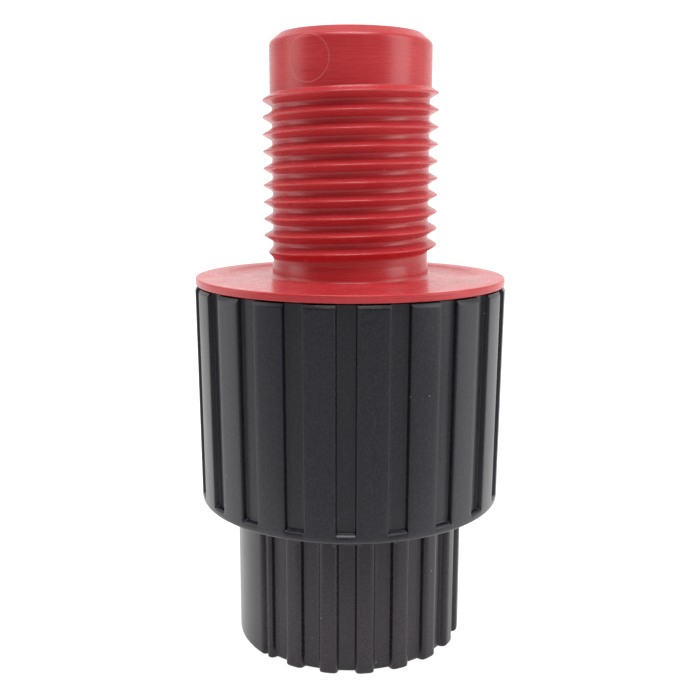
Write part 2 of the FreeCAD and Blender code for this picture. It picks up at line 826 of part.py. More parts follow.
def main():
    doc = FreeCAD.newDocument("drip_emitter")
    add_sheet(doc)
    parts = [make(doc) for make in MAKERS]
    doc.recompute()
    check_document(doc, parts)
    os.makedirs("parts", exist_ok=True)
    for part in parts:
        part.Shape.exportStep(f"parts/{part.Label}.step")
        print(f"{part.Label}: {part.Shape.Volume:.1f} mm3")


main()
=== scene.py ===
# %% [markdown]
# # A threaded drip emitter, finished in Blender
#
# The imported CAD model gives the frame: a red inlet nipple, a black ribbed collar, a black ribbed
# outlet cap and the small parts inside. The CAD model decides where everything is and how it
# moves. This file makes the moulded skins, with the rounded rib edges, the run-out of the thread
# and the marks that a mould leaves, and gives every piece a finish.

# %% Load the frame
import json
import math

import bmesh
import bpy
import numpy as np
from mathutils import Matrix, Vector


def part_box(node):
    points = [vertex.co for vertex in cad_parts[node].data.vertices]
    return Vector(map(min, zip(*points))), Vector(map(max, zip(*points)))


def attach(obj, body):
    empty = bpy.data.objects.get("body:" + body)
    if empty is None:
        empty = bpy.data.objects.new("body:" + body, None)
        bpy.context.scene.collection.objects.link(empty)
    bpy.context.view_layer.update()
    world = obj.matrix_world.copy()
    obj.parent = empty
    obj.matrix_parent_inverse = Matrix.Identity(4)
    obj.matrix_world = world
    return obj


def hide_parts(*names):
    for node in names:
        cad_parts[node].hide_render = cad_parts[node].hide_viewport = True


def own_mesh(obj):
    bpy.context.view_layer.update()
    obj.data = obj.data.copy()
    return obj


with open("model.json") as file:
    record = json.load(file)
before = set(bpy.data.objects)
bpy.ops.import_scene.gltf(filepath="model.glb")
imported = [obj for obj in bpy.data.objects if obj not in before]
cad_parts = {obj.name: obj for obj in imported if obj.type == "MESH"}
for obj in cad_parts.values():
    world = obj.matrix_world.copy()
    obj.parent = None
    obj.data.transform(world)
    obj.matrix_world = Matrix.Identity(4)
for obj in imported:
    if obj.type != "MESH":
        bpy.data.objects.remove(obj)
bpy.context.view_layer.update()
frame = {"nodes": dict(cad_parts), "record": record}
nodes = frame["nodes"]
print("CAD nodes:", len(nodes))

# %% [markdown]
# ## Sizes
#
# Lengths here are millimetres, as on a fitting's drawing, and one factor turns them into Blender's
# metres. The main sizes are read from the CAD boxes, so that a skin always fits its node. What a
# box can't tell, such as the height of a shoulder inside, is a named value.

# %% Main sizes from the frame
MM = 0.001


def box_mm(node):
    """Lowest and highest corner of a node, in millimetres."""
    low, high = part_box(node)
    return np.array(low) / MM, np.array(high) / MM


nipple_high = box_mm("inlet_nipple")[1]
collar_high = box_mm("collar_housing")[1]
cap_high = box_mm("outlet_cap")[1]
overall_height = float(nipple_high[2])
flange_radius = float(nipple_high[0])
collar_top_radius = float(collar_high[1])
flange_bottom = float(collar_high[2])
cap_radius = float(cap_high[0])
print(f"height {overall_height:.1f}, flange {flange_radius:.2f}")
print(f"collar {collar_top_radius:.2f}, cap {cap_radius:.2f}")

# %% [markdown]
# ## The camera
#
# The camera stands about 12 cm away, level with the middle of the thread and tipped down a little.
# So it sees the thread's crests edge-on, and the flange and the lower edges from above. That is
# close for a thing 75 mm tall, so the perspective is strong, and the exact distance matters.

# %% Camera
CAMERA_DISTANCE = 117.5
CAMERA_HEIGHT = 59.8
CAMERA_PITCH = 0.1947
CAMERA_ROLL = 0.0029
LENS = 48.72
SENSOR_WIDTH = 36.0
NEAR_CLIP = 0.005

camera = bpy.data.objects.new("camera", bpy.data.cameras.new("camera"))
bpy.context.scene.collection.objects.link(camera)
camera.data.lens = LENS
camera.data.sensor_width = SENSOR_WIDTH
camera.data.clip_start = NEAR_CLIP
aim = Matrix.Rotation(math.pi / 2 - CAMERA_PITCH, 3, "X") @ Matrix.Rotation(CAMERA_ROLL, 3, "Z")
camera.location = (0, -CAMERA_DISTANCE * MM, CAMERA_HEIGHT * MM)
camera.rotation_euler = aim.to_euler()
bpy.context.scene.camera = camera
print("camera at", tuple(round(c, 4) for c in camera.location))

# %% [markdown]
# ## Light and backdrop
#
# Small plastic parts are often shot in a white tent. The walls at the sides and behind are bright,
# and the side that the lens looks through is darker. That is what makes black plastic read as
# round: its front stays dark, and it turns pale towards both edges. So the sky here is a white
# that fades towards the front, with two tall soft boxes at the sides, one overhead, and a pale
# sheet that curves up behind.
#
# The sheet glows with a painted light of its own and is brightest where the lens sees it. In front
# of the piece, and a little to the sides, the glow is dimmer and the colour a painted shade of
# grey, because black plastic mirrors whatever lies there. What light comes off its front reaches
# the rims and the pilot from below, but not the neck, which the flange covers.

# %% Light levels
SKY_LEAN = (0.22, 0.80, 0.36)
SKY_FADE_START = -0.65
SKY_FADE_END = 0.45
SKY_FRONT = 0.10
SKY_BACK = 0.90
# Painted glow of the sheet: full behind the piece, dimmer in front and aside, where the sheet is
# also painted a grey shade.
SHEET_GLOW = 0.85
SHEET_FRONT_GLOW = 0.52
SHEET_FADE_FRONT = -60.0
SHEET_FADE_BACK = -29.0
SHEET_SIDE_START = 46.0
SHEET_SIDE_END = 80.0
SHEET_SIDE_SLOPE = -0.37
SHEET_SIDE_SHARE = 0.85
print("sky from", SKY_FRONT, "to", SKY_BACK)

# %% [markdown]
# The sheet is a profile of floor, quarter circle and wall, drawn out sideways. A plane with one
# edge lifted and bevelled would do as well, but the arc from a formula is smooth at once.

# %% Backdrop sheet
FLOOR_HALF_WIDTH = 900.0
FLOOR_FRONT = -700.0
FLOOR_BACK = 500.0
SWEEP_RADIUS = 250.0
WALL_TOP = 1100.0
SWEEP_STEPS = 25


def sweep_sheet(name):
    """A floor that turns up through a quarter circle into a wall, constant along X."""
    angle = np.linspace(0, math.pi / 2, SWEEP_STEPS)
    y = np.concatenate([[FLOOR_FRONT], FLOOR_BACK + SWEEP_RADIUS * np.sin(angle)])
    z = np.concatenate([[0.0], SWEEP_RADIUS * (1 - np.cos(angle))])
    y = np.append(y, y[-1])
    z = np.append(z, WALL_TOP)
    left = np.stack([np.full_like(y, -FLOOR_HALF_WIDTH), y, z], axis=1)
    right = left * np.array([-1, 1, 1])
    points = np.concatenate([left, right]) * MM
    row = np.arange(len(y) - 1)
    faces = np.stack([row, row + len(y), row + len(y) + 1, row + 1], axis=1)
    mesh = bpy.data.meshes.new(name)
    mesh.from_pydata(points.tolist(), [], faces.tolist())
    mesh.polygons.foreach_set("use_smooth", np.ones(len(faces), dtype=bool))
    sheet = bpy.data.objects.new(name, mesh)
    bpy.context.scene.collection.objects.link(sheet)
    return sheet


backdrop = sweep_sheet("backdrop_sheet")
print("backdrop rows:", len(backdrop.data.polygons))

# %% [markdown]
# The sky's strength depends on direction alone. A dot product with a leaning vector is highest
# towards the back and above, and a smooth ramp turns it into a strength.

# %% Sky
bpy.context.scene.view_settings.view_transform = "Standard"
world = bpy.data.worlds.new("white_tent")
bpy.context.scene.world = world
world.use_nodes = True
sky = world.node_tree
sky.nodes.clear()
sky_direction = sky.nodes.new("ShaderNodeTexCoord")
sky_lean = sky.nodes.new("ShaderNodeVectorMath")
sky_lean.operation = "DOT_PRODUCT"
sky_lean.inputs[1].default_value = SKY_LEAN
sky_ramp = sky.nodes.new("ShaderNodeMapRange")
sky_ramp.interpolation_type = "SMOOTHSTEP"
sky_ramp.inputs["From Min"].default_value = SKY_FADE_START
sky_ramp.inputs["From Max"].default_value = SKY_FADE_END
sky_ramp.inputs["To Min"].default_value = SKY_FRONT
sky_ramp.inputs["To Max"].default_value = SKY_BACK
sky_light = sky.nodes.new("ShaderNodeBackground")
sky_output = sky.nodes.new("ShaderNodeOutputWorld")
sky.links.new(sky_direction.outputs["Generated"], sky_lean.inputs[0])
sky.links.new(sky_lean.outputs["Value"], sky_ramp.inputs["Value"])
sky.links.new(sky_ramp.outputs["Result"], sky_light.inputs["Strength"])
sky.links.new(sky_light.outputs["Background"], sky_output.inputs["Surface"])
print("sky made:", world.name)

# %% [markdown]
# Soft boxes are large lamps with a white cloth in front. An area light is one, and its size sets
# how soft the gleams are. Each faces the middle of the piece.

# %% Soft boxes
LIGHT_TARGET = (0, 0, 40)
SOFT_BOXES = (
    # name, place, width, height, watts
    ("left_box", (-420, -40, 190), 240, 380, 0.45),
    ("right_box", (400, -130, 190), 240, 380, 0.75),
    ("top_box", (0, -130, 460), 270, 240, 1.15),
)


def soft_box(name, place, width, height, watts):
    """A large area light at a place in millimetres, turned to face the target."""
    data = bpy.data.lights.new(name, "AREA")
    data.shape = "RECTANGLE"
    data.size = width * MM
    data.size_y = height * MM
    data.energy = watts
    lamp = bpy.data.objects.new(name, data)
    bpy.context.scene.collection.objects.link(lamp)
    lamp.location = Vector(place) * MM
    line_of_sight = Vector(LIGHT_TARGET) - Vector(place)
    lamp.rotation_euler = line_of_sight.to_track_quat("-Z", "Y").to_euler()


for box in SOFT_BOXES:
    soft_box(*box)

# %% [markdown]
# ## Profiles with softened corners
#
# No moulded edge is perfectly sharp. Every skin starts from the outline that a lathe tool would
# follow, and each corner is replaced by a small arc. A guard point on each side of the arc keeps
# the shading of the flat face flat. The alternative, a Bevel modifier, would treat every edge of
# the dense mesh alike.

# %% Softened outline
ARC_STEPS = 4


def soften(corners, guard=0.12):
    """Closed outline of (radius, height, corner radius) with every corner rounded.

    A corner of radius r is cut back by r / tan(half its angle) along both edges and joined by an
    arc tangent to both, whose centre lies on the bisector at r / sin(half its angle).
    """
    outline = []
    count = len(corners)
    for index, (x, y, radius) in enumerate(corners):
        here = np.array([x, y])
        to_last = np.array(corners[index - 1][:2]) - here
        to_next = np.array(corners[(index + 1) % count][:2]) - here
        last_length = np.linalg.norm(to_last)
        next_length = np.linalg.norm(to_next)
        to_last /= last_length
        to_next /= next_length
        half = math.acos(float(np.clip(to_last @ to_next, -1, 1))) / 2
        if radius <= 0 or half > math.pi / 2 - 0.01:
            outline.append(here[None])
            continue
        cut = min(radius / math.tan(half), 0.45 * last_length, 0.45 * next_length)
        radius = cut * math.tan(half)
        bisector = (to_last + to_next) / np.linalg.norm(to_last + to_next)
        centre = here + bisector * radius / math.sin(half)
        start = here + to_last * cut
        end = here + to_next * cut
        first = math.atan2(*(start - centre)[::-1])
        sweep = math.atan2(*(end - centre)[::-1]) - first
        sweep = (sweep + math.pi) % (2 * math.pi) - math.pi
        angle = first + sweep * np.linspace(0, 1, ARC_STEPS + 1)
        arc = centre + radius * np.stack([np.cos(angle), np.sin(angle)], axis=1)
        if last_length > 2 * (cut + guard):
            outline.append((start + to_last * guard)[None])
        outline.append(arc)
        if next_length > 2 * (cut + guard):
            outline.append((end + to_next * guard)[None])
    return np.concatenate(outline)


square = [(0.0, 0.0, 1.0), (9.0, 0.0, 1.0), (9.0, 9.0, 1.0), (0.0, 9.0, 1.0)]
print("points on a softened square:", len(soften(square)))

# %% [markdown]
# ## Turned skins
#
# Each big piece is one closed surface of two parameters: the place along its outline and the
# angle round the axis. The whole grid is worked out as arrays, and ribs or threads change the
# radius as a function of both. Spinning a curve would give the plain shape, but not ribs that
# fade into a ledge or a thread that runs out.

# %% Grid to mesh
def signed_volume(points, faces):
    """Sum over the faces' triangles of a . (b x c) / 6; positive where faces point outwards."""
    a, b, c, d = (points[faces[:, k]] for k in range(4))
    first = np.einsum("ij,ij->i", a, np.cross(b, c))
    second = np.einsum("ij,ij->i", a, np.cross(c, d))
    return float((first + second).sum() / 6)


def ring_faces(rows, columns, seam_rows=None):
    """Quads of a grid closed both ways.

    seam_rows says which row of the first column each row carries on to, past the last column.
    """
    if seam_rows is None:
        seam_rows = np.arange(rows)
    row = np.arange(rows)
    next_row = (row + 1) % rows
    column = np.arange(columns - 1)
    near = row[:, None] * columns + column
    far = next_row[:, None] * columns + column
    inside = np.stack([near, near + 1, far + 1, far], axis=-1).reshape(-1, 4)
    last = columns - 1
    seam = np.stack([row * columns + last, seam_rows[row] * columns,
                     seam_rows[next_row] * columns, next_row * columns + last], axis=-1)
    return np.concatenate([inside, seam])


def tube_faces(rows, columns):
    """Quads of a grid that is closed round its columns only, such as a wire's."""
    row = np.arange(rows - 1)[:, None] * columns
    column = np.arange(columns)
    next_column = (column + 1) % columns
    corners = [row + column, row + next_column, row + columns + next_column, row + columns + column]
    return np.stack(corners, axis=-1).reshape(-1, 4)


MERGE_DISTANCE = 0.0008


def skin_object(name, grids):
    """One object from closed grids, each of points in mm (rows x columns x 3) and its faces.

    Faces are turned round where the volume comes out negative, and doubled points are merged.
    """
    all_points = []
    all_faces = []
    offset = 0
    for points, faces in grids:
        flat = points.reshape(-1, 3) * MM
        if signed_volume(flat, faces) < 0:
            faces = faces[:, ::-1]
        all_points.append(flat)
        all_faces.append(faces + offset)
        offset += len(flat)
    mesh = bpy.data.meshes.new(name)
    mesh.from_pydata(np.concatenate(all_points).tolist(), [], np.concatenate(all_faces).tolist())
    work = bmesh.new()
    work.from_mesh(mesh)
    bmesh.ops.remove_doubles(work, verts=work.verts, dist=MERGE_DISTANCE * MM)
    work.to_mesh(mesh)
    work.free()
    mesh.polygons.foreach_set("use_smooth", np.ones(len(mesh.polygons), dtype=bool))
    mesh.update()
    piece = bpy.data.objects.new(name, mesh)
    bpy.context.scene.collection.objects.link(piece)
    print(f"{name}: {len(mesh.polygons)} faces")
    return piece


def turned_points(radius, height, angle):
    """x = r cos a, y = r sin a, z = height, for arrays of rows by columns."""
    return np.stack([radius * np.cos(angle), radius * np.sin(angle), height + 0 * angle], axis=-1)


print("quads on a ring of 4 rows and 8 columns:", len(ring_faces(4, 8)))

# %% [markdown]
# ## Finishes
#
# All finishes are built the same way: one Principled shader whose even values sit on its own
# sockets, and a little procedural variation on top of colour, roughness and bump. Patterns read
# Object coordinates, which are metres here, so a noise scale of 2000 has a grain of about half a
# millimetre.

# %% Shader and place
def new_finish(name, **values):
    """A material with one Principled shader; returns its node tree and that shader."""
    finish = bpy.data.materials.new(name)
    finish.use_nodes = True
    shader = finish.node_tree.nodes["Principled BSDF"]
    for socket, value in values.items():
        shader.inputs[socket.replace("_", " ")].default_value = value
    return finish, finish.node_tree, shader


def stretched_place(tree, stretch=(1, 1, 1)):
    """Object coordinates multiplied by a stretch along each axis."""
    place = tree.nodes.new("ShaderNodeTexCoord")
    mapping = tree.nodes.new("ShaderNodeMapping")
    mapping.inputs["Scale"].default_value = stretch
    tree.links.new(place.outputs["Object"], mapping.inputs["Vector"])
    return mapping.outputs["Vector"]


print("finishes so far:", len(bpy.data.materials))


# %% [markdown]
# A noise alone is a grey cloud. Stretching its usual range to two values gives a roughness, and
# sending it through two tones gives a colour. Small nodes wrapped in functions keep each finish
# readable, where a drawn node tree would be hard to follow.

# %% Noise, tones and sums
def grain(tree, place, scale, detail=3.0, roughness=0.5):
    """A noise from 0 to 1, mostly near 0.5, with features about 1 / scale metres across."""
    noise = tree.nodes.new("ShaderNodeTexNoise")
    noise.inputs["Scale"].default_value = scale
    noise.inputs["Detail"].default_value = detail
    noise.inputs["Roughness"].default_value = roughness
    tree.links.new(place, noise.inputs["Vector"])
    return noise.outputs["Fac"]


def spread(tree, value, low, high, from_low=0.3, from_high=0.7):
    """The value stretched from its usual range to low..high, and held there."""
    node = tree.nodes.new("ShaderNodeMapRange")
    node.clamp = True
    node.inputs["From Min"].default_value = from_low
    node.inputs["From Max"].default_value = from_high
    node.inputs["To Min"].default_value = low
    node.inputs["To Max"].default_value = high
    tree.links.new(value, node.inputs["Value"])
    return node.outputs["Result"]


def two_tones(tree, value, low_colour, high_colour, from_low=0.3, from_high=0.7):
    """A colour between two tones, chosen by the value."""
    node = tree.nodes.new("ShaderNodeValToRGB")
    node.color_ramp.elements[0].position = from_low
    node.color_ramp.elements[0].color = (*low_colour, 1)
    node.color_ramp.elements[1].position = from_high
    node.color_ramp.elements[1].color = (*high_colour, 1)
    tree.links.new(value, node.inputs["Fac"])
    return node.outputs["Color"]


def mixed(tree, share, first, second):
    """First colour where the share is 0, second where it is 1; each a socket or three numbers."""
    node = tree.nodes.new("ShaderNodeMix")
    node.data_type = "RGBA"
    tree.links.new(share, node.inputs["Factor"])
    for socket, colour in ((node.inputs[6], first), (node.inputs[7], second)):
        if isinstance(colour, tuple):
            socket.default_value = (*colour, 1)
        else:
            tree.links.new(colour, socket)
    return node.outputs[2]


def maths(tree, operation, first, second):
    """One Math node; the second input is a number or a socket."""
    node = tree.nodes.new("ShaderNodeMath")
    node.operation = operation
    tree.links.new(first, node.inputs[0])
    if isinstance(second, (int, float)):
        node.inputs[1].default_value = second
    else:
        tree.links.new(second, node.inputs[1])
    return node.outputs["Value"]


# %% [markdown]
# Dust and tiny pits are dots in a few cells of a Voronoi pattern. A chain of Bump nodes bends the
# shading at several scales: each takes the one before it as its starting normal.

# %% Flecks and bumps
def flecks(tree, place, cell, size, share):
    """Sparse round dots: the middles of a few cells of a Voronoi pattern, cell size in mm."""
    cells = tree.nodes.new("ShaderNodeTexVoronoi")
    cells.inputs["Scale"].default_value = 1 / (cell * MM)
    tree.links.new(place, cells.inputs["Vector"])
    split = tree.nodes.new("ShaderNodeSeparateColor")
    tree.links.new(cells.outputs["Color"], split.inputs["Color"])
    chosen = maths(tree, "GREATER_THAN", split.outputs["Red"], 1 - share)
    dot = spread(tree, cells.outputs["Distance"], 1, 0, size * 0.5, size)
    return maths(tree, "MULTIPLY", dot, chosen)


def add_bumps(tree, shader, heights):
    """Chain of bump nodes; heights holds (value, strength, depth in mm)."""
    normal = None
    for value, strength, depth in heights:
        bump = tree.nodes.new("ShaderNodeBump")
        bump.inputs["Strength"].default_value = strength
        bump.inputs["Distance"].default_value = depth * MM
        tree.links.new(value, bump.inputs["Height"])
        if normal is not None:
            tree.links.new(normal, bump.inputs["Normal"])
        normal = bump.outputs["Normal"]
    tree.links.new(normal, shader.inputs["Normal"])


# %% [markdown]
# ### Red polypropylene
#
# The nipple is a glossy red moulding. Up close it shows fine level lines, because the mould was
# turned on a lathe, and slow changes of tone where the plastic flowed. The lines are a noise
# squeezed along Z, so that it varies quickly up the tube and slowly round it. A faint ring on the
# pilot is where a pin pushed the moulding out, and a straight line is where the mould's halves met.
# Both are made from a distance: to a point for the ring, to a plane for the line.

# %% Red finish
WITNESS_RING = (-4.80, -8.45, 71.25)
WITNESS_RING_RADIUS = 2.6
RING_LINE = 0.09
PARTING_ANGLE = math.radians(-30.5)
PARTING_LINE = 0.10
FLOW_GRAIN = 190
FLOW_STRETCH = (1, 1, 1.6)
LINE_GRAIN = 1500
LINE_STRETCH = (0.22, 0.22, 3.2)
PIT_GRAIN = 5200
DUST_CELL = 1.3
DUST_SIZE = 0.09
DUST_SHARE = 0.10
PARTING_STRENGTH = 0.45
RING_STRENGTH = 0.34
DUST_STRENGTH = 0.6
FLOW_TONES = ((0.52, 0.029, 0.036), (0.61, 0.046, 0.051))
STREAK_TONES = ((0.50, 0.027, 0.036), (0.63, 0.052, 0.059))
PARTING_TONE = (0.20, 0.010, 0.016)
RING_TONE = (0.80, 0.26, 0.24)
DUST_TONE = (0.85, 0.42, 0.38)


def measured(tree, place, operation, vector):
    """Distance to a point, or dot product with a direction."""
    node = tree.nodes.new("ShaderNodeVectorMath")
    node.operation = operation
    node.inputs[1].default_value = vector
    tree.links.new(place, node.inputs[0])
    return node.outputs["Value"]


def line_at(tree, distance, level, half_width):
    """1 on a line where the distance equals the level, fading to 0 at half a width (mm)."""
    away = maths(tree, "ABSOLUTE", maths(tree, "SUBTRACT", distance, level * MM), 0)
    return spread(tree, away, 1, 0, 0.3 * half_width * MM, half_width * MM)


def make_red():
    """Flow tones with fine streaks, then the parting line, the ring and specks laid over them."""
    finish, tree, shader = new_finish("red_polypropylene", IOR=1.49)
    place = stretched_place(tree)
    flow = grain(tree, stretched_place(tree, FLOW_STRETCH), FLOW_GRAIN, 4)
    lines = grain(tree, stretched_place(tree, LINE_STRETCH), LINE_GRAIN, 3, 0.6)
    pits = grain(tree, place, PIT_GRAIN, 2)
    from_ring = measured(tree, place, "DISTANCE", tuple(c * MM for c in WITNESS_RING))
    ring = line_at(tree, from_ring, WITNESS_RING_RADIUS, RING_LINE)
    across = (-math.sin(PARTING_ANGLE), math.cos(PARTING_ANGLE), 0)
    parting = line_at(tree, measured(tree, place, "DOT_PRODUCT", across), 0, PARTING_LINE)
    dust = flecks(tree, place, DUST_CELL, DUST_SIZE, DUST_SHARE)
    tone = two_tones(tree, flow, *FLOW_TONES)
    tone = mixed(tree, spread(tree, pits, 0.15, 0.4), tone, two_tones(tree, lines, *STREAK_TONES))
    tone = mixed(tree, maths(tree, "MULTIPLY", parting, PARTING_STRENGTH), tone, PARTING_TONE)
    tone = mixed(tree, maths(tree, "MULTIPLY", ring, RING_STRENGTH), tone, RING_TONE)
    tone = mixed(tree, maths(tree, "MULTIPLY", dust, DUST_STRENGTH), tone, DUST_TONE)
    tree.links.new(tone, shader.inputs["Base Color"])
    tree.links.new(spread(tree, lines, 0.23, 0.33), shader.inputs["Roughness"])
    bumps = [(lines, 0.22, 0.02), (pits, 0.20, 0.012), (ring, 0.4, 0.02), (parting, 0.4, 0.03)]
    add_bumps(tree, shader, bumps)
    return finish


red_plastic = make_red()
print("made", red_plastic.name)

# %% [markdown]
# ### Black polypropylene
#
# The collar and the cap are satin black with a faint speckle. Pale flecks are dust and tiny pits
# that catch the light. The cap is a shade warmer and gleams less, as a second moulding from
# another batch would. A noise that is very fine gives the speckle, and a slow one the patches of
# higher and lower gloss.

# %% Black finishes
PATCH_GRAIN = 120
SPECKLE_GRAIN = 3600
FINE_GRAIN = 9000
FLECK_CELL = 1.1
FLECK_SIZE = 0.09
FLECK_STRENGTH = 0.7
FLECK_TONE = (0.30, 0.30, 0.30)
COLLAR_TONES = ((0.0045, 0.0042, 0.0080), (0.019, 0.0175, 0.0290))
CAP_TONES = ((0.008, 0.0045, 0.0080), (0.028, 0.0180, 0.0270))


def make_black(name, tones, roughness, fleck_share, gleam):
    """Speckle between two near-black tones, with a few pale flecks and a patchy gloss."""
    finish, tree, shader = new_finish(name, IOR=1.50, Specular_IOR_Level=gleam)
    place = stretched_place(tree)
    patches = grain(tree, stretched_place(tree, (1, 1, 0.5)), PATCH_GRAIN, 3)
    speckle = grain(tree, place, SPECKLE_GRAIN, 4, 0.7)
    fine = grain(tree, place, FINE_GRAIN, 2)
    dust = flecks(tree, place, FLECK_CELL, FLECK_SIZE, fleck_share)
    tone = two_tones(tree, speckle, *tones, 0.40, 0.66)
    tone = mixed(tree, maths(tree, "MULTIPLY", dust, FLECK_STRENGTH), tone, FLECK_TONE)
    tree.links.new(tone, shader.inputs["Base Color"])
    rough = spread(tree, patches, roughness - 0.04, roughness + 0.06)
    tree.links.new(rough, shader.inputs["Roughness"])
    add_bumps(tree, shader, [(speckle, 0.30, 0.03), (fine, 0.2, 0.01)])
    return finish


collar_black = make_black("collar_black", COLLAR_TONES,
                          roughness=0.29, fleck_share=0.07, gleam=0.50)
cap_black = make_black("cap_black", CAP_TONES, roughness=0.26, fleck_share=0.06, gleam=0.38)
print("made", collar_black.name, cap_black.name)

# %% [markdown]
# ## The inlet nipple
#
# The thread is a V form with a sharp crest, wound right-handed. If the rows of the grid were
# level circles, the crest would fall between them and look beaded. So the rows of the thread
# climb with it: row by row they follow the crest, the flanks and the root all the way up. A
# Screw modifier would wind a tooth as well, but it can't fade the thread in and out.

# %% Thread
TUBE_RADIUS = 9.5
THREAD_RADIUS = 10.6
PITCH = 2.0
CREST_AT_ZERO = 50.1
FIRST_TURN = -0.62
FULL_TURN = -0.34
TOP_CREST = 9
LAST_TURN = 9.27
LAST_FADE = 0.07
TOOTH_AWAY = np.array([0.0, 0.06, 0.13, 0.21, 0.43, 0.66, 0.76, 0.88])
TOOTH_RISE = np.array([1.0, 0.985, 0.92, 0.80, 0.45, 0.10, 0.025, 0.0])


def smooth_rise(value, start, end):
    """0 before start, 1 after end, and 3 t^2 - 2 t^3 between."""
    t = np.clip((value - start) / (end - start), 0, 1)
    return t * t * (3 - 2 * t)


def thread_rise(angle, height):
    """How far the thread stands out of the tube.

    The nearest crest is at CREST_AT_ZERO + PITCH * (whole turns + angle / 2 pi). The tooth's table
    gives its share of the full height at a distance from the crest: a small rounded crest, two
    straight flanks about 60 degrees apart, and a tiny fillet at the root. The height fades in and
    out at the two ends of the thread.
    """
    turns = (height - CREST_AT_ZERO) / PITCH - angle / (2 * math.pi)
    nearest = np.round(turns)
    away = np.abs(turns - nearest) * PITCH
    tooth = np.interp(away, TOOTH_AWAY, TOOTH_RISE)
    turn = nearest + angle / (2 * math.pi)
    fade_in = smooth_rise(turn, FIRST_TURN, FULL_TURN)
    fade = fade_in * (1 - smooth_rise(turn, LAST_TURN - LAST_FADE, LAST_TURN))
    return (THREAD_RADIUS - TUBE_RADIUS) * tooth * fade


print(f"thread: {LAST_TURN - FIRST_TURN:.1f} turns of {PITCH} mm")

# %% [markdown]
# Two more functions finish the thread. One gives the wall it stands on, which is wider above the
# topmost crest, where the pilot begins. The other gives the rows that climb. Above and below the
# thread those rows are held at a level and merged, so the thread stands on plain tube.

# %% Wall and rows of the thread
THREAD_LOW = 47.95
THREAD_HIGH = 69.6
PILOT_RADIUS = 9.72
PILOT_BLEND = 0.3
LAST_ANGLE = 2 * math.pi * (LAST_TURN - TOP_CREST)
TOOTH_ROWS = np.concatenate([-TOOTH_AWAY[:0:-1], TOOTH_AWAY, [PITCH / 2]]) / PITCH
ROW_TURNS = np.arange(-2, 11)


def core_radius(angle, height):
    """The wall under the thread: thread core below the topmost crest, wider pilot above it.

    The topmost crest is TOP_CREST up to the angle where the thread ends, and one less past it.
    """
    turns = (height - CREST_AT_ZERO) / PITCH - angle / (2 * math.pi)
    ended = smooth_rise(angle, LAST_ANGLE, LAST_ANGLE + PILOT_BLEND)
    above_top = smooth_rise(turns, TOP_CREST, TOP_CREST + PILOT_BLEND)
    above_next = smooth_rise(turns, TOP_CREST - 1, TOP_CREST - 1 + PILOT_BLEND)
    above = above_top * (1 - ended) + above_next * ended
    return TUBE_RADIUS + (PILOT_RADIUS - TUBE_RADIUS) * above


def thread_grid(angle):
    """Rows that climb with the thread, held between THREAD_LOW and THREAD_HIGH."""
    offsets = (ROW_TURNS[:, None] + TOOTH_ROWS).ravel()
    height = CREST_AT_ZERO + PITCH * (offsets[:, None] + angle / (2 * math.pi))
    height = np.clip(height, THREAD_LOW, THREAD_HIGH)
    return np.maximum(TUBE_RADIUS + thread_rise(angle, height), core_radius(angle, height)), height


print("climbing rows:", len(ROW_TURNS) * len(TOOTH_ROWS))

# %% [markdown]
# The rest of the nipple is a plain outline: up the skirt, round the thin flange, up the neck, then
# past the thread to the pilot, over the bevelled rim and down the bore to the shelf that the
# strainer stands on. The flange has a fine step, where two plates of the mould met.

# %% Nipple outline
FLANGE_TOP = flange_bottom + 0.9
BEVEL_HEIGHT = 1.1
BEVEL_WIDTH = 1.3
STEP_RADIUS = 15.7
STEP_HALF_WIDTH = 0.05
STEP_DROP = 0.07
NECK_RADIUS = 9.6
NECK_TOP = THREAD_LOW - 0.25

# Each corner is a radius, a height and the corner's own small radius.
nipple_below = [
    # the tube's foot and the hollow behind the skirt
    (7.6, 36.0, 0.15), (TUBE_RADIUS, 36.0, 0.2), (TUBE_RADIUS, flange_bottom, 0.3),
    (14.4, flange_bottom, 0.3), (14.4, 39.0, 0.2),
    # the skirt, with the groove for its seal
    (16.2, 39.0, 0.2), (16.2, 41.0, 0.1), (15.2, 41.0, 0.1), (15.2, 43.0, 0.1),
    (16.2, 43.0, 0.1), (16.2, flange_bottom, 0.1),
    # the flange and the neck
    (flange_radius, flange_bottom, 0.12), (flange_radius, FLANGE_TOP, 0.16),
    (STEP_RADIUS + STEP_HALF_WIDTH, FLANGE_TOP, 0.0),
    (STEP_RADIUS - STEP_HALF_WIDTH, FLANGE_TOP - STEP_DROP, 0.0),
    (NECK_RADIUS, FLANGE_TOP - STEP_DROP, 0.45), (NECK_RADIUS, NECK_TOP, 0.0),
    (TUBE_RADIUS, THREAD_LOW, 0.0),
]
nipple_above = [
    # the pilot and its bevelled rim
    (PILOT_RADIUS, THREAD_HIGH, 0.0), (PILOT_RADIUS, overall_height - BEVEL_HEIGHT, 0.7),
    (PILOT_RADIUS - BEVEL_WIDTH, overall_height, 0.4), (7.3, overall_height, 0.15),
    # down the bore to the shelf
    (7.3, 62.0, 0.1), (7.0, 62.0, 0.05), (7.0, 50.0, 0.1), (5.0, 50.0, 0.1), (5.0, 48.0, 0.1),
    (7.6, 48.0, 0.1),
]
print("nipple corners:", len(nipple_below) + len(nipple_above))

# %% [markdown]
# One turn round, a climbing row meets the row that stands one pitch higher. The seam table says
# so, and that is how a thread can be part of one closed surface with the plain rows around it.

# %% Nipple skin
ANGLES = 280
SAME_PLACE = 1e-6


